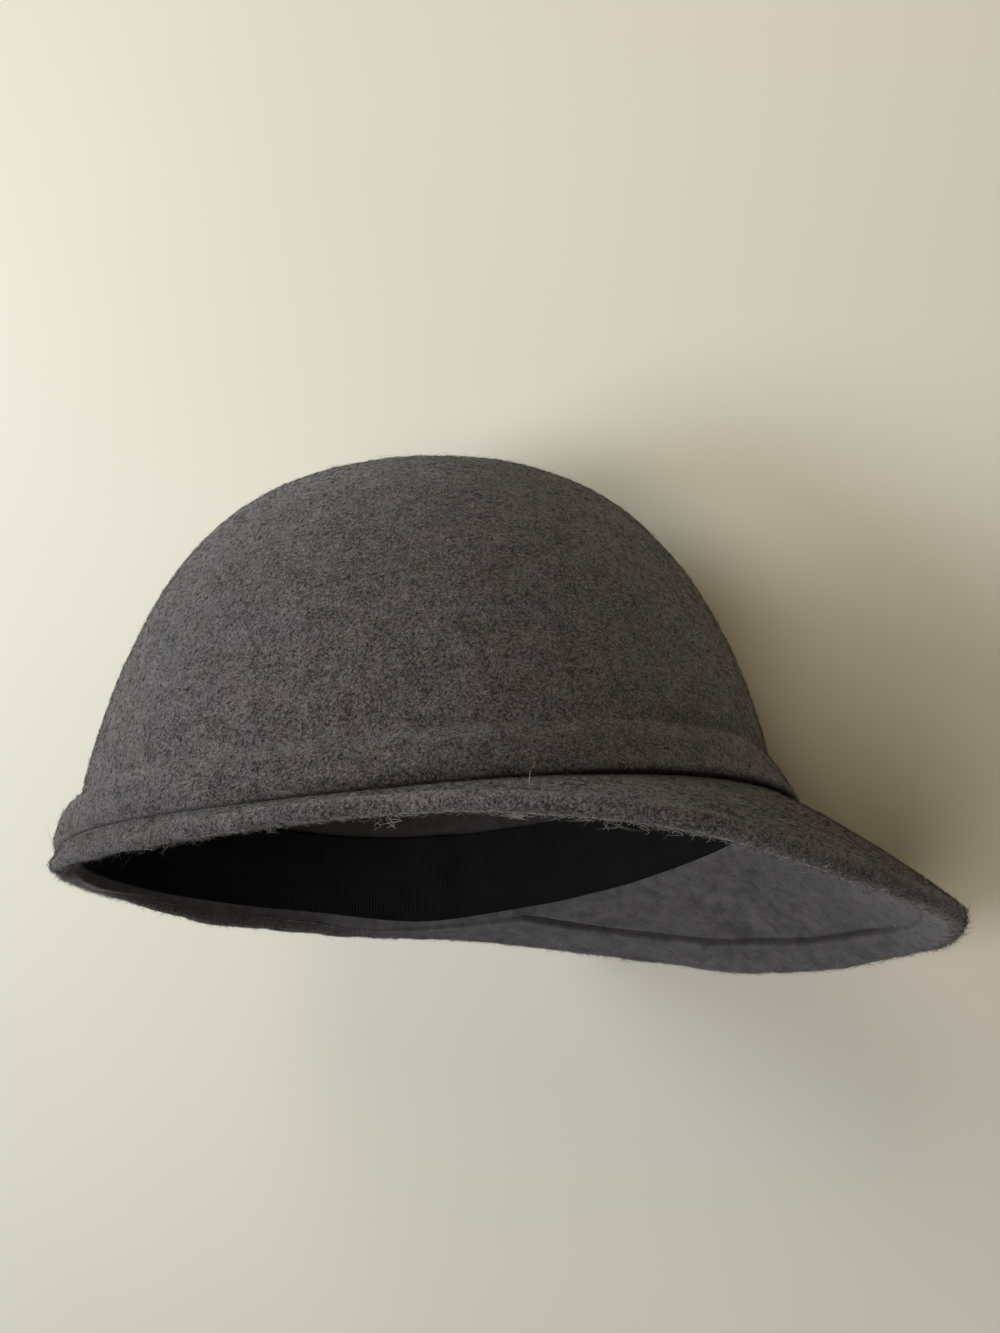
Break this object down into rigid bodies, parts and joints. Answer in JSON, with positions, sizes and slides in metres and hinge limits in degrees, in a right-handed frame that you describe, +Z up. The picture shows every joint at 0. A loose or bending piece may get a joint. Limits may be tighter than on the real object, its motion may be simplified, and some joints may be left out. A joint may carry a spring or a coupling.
{
  "type": "felt cloche cap with peak",
  "caption": "Deep round wool felt cap with a folded band, a rolled back brim that grows into a drooping front peak, and a cloth sweatband, lying on its side.",
  "frame": {"origin": "on the table that the hat lies on, under the middle of its bounding box", "axes": "+X towards the hat's front, +Y towards the top of its crown, +Z up from the table; the hat lies on its wearer's left side and its opening faces -Y and a little up"},
  "size_m": [0.2526, 0.1932, 0.1896],
  "materials": {
    "felt": "brushed heathered grey wool felt, matt with a short fuzz",
    "band_cloth": "near-black cloth with very faint upright ribs, matt"
  },
  "bodies": {
    "root": {"crown": "felt", "brim": "felt", "sweatband": "band_cloth"}
  },
  "joints": []
}
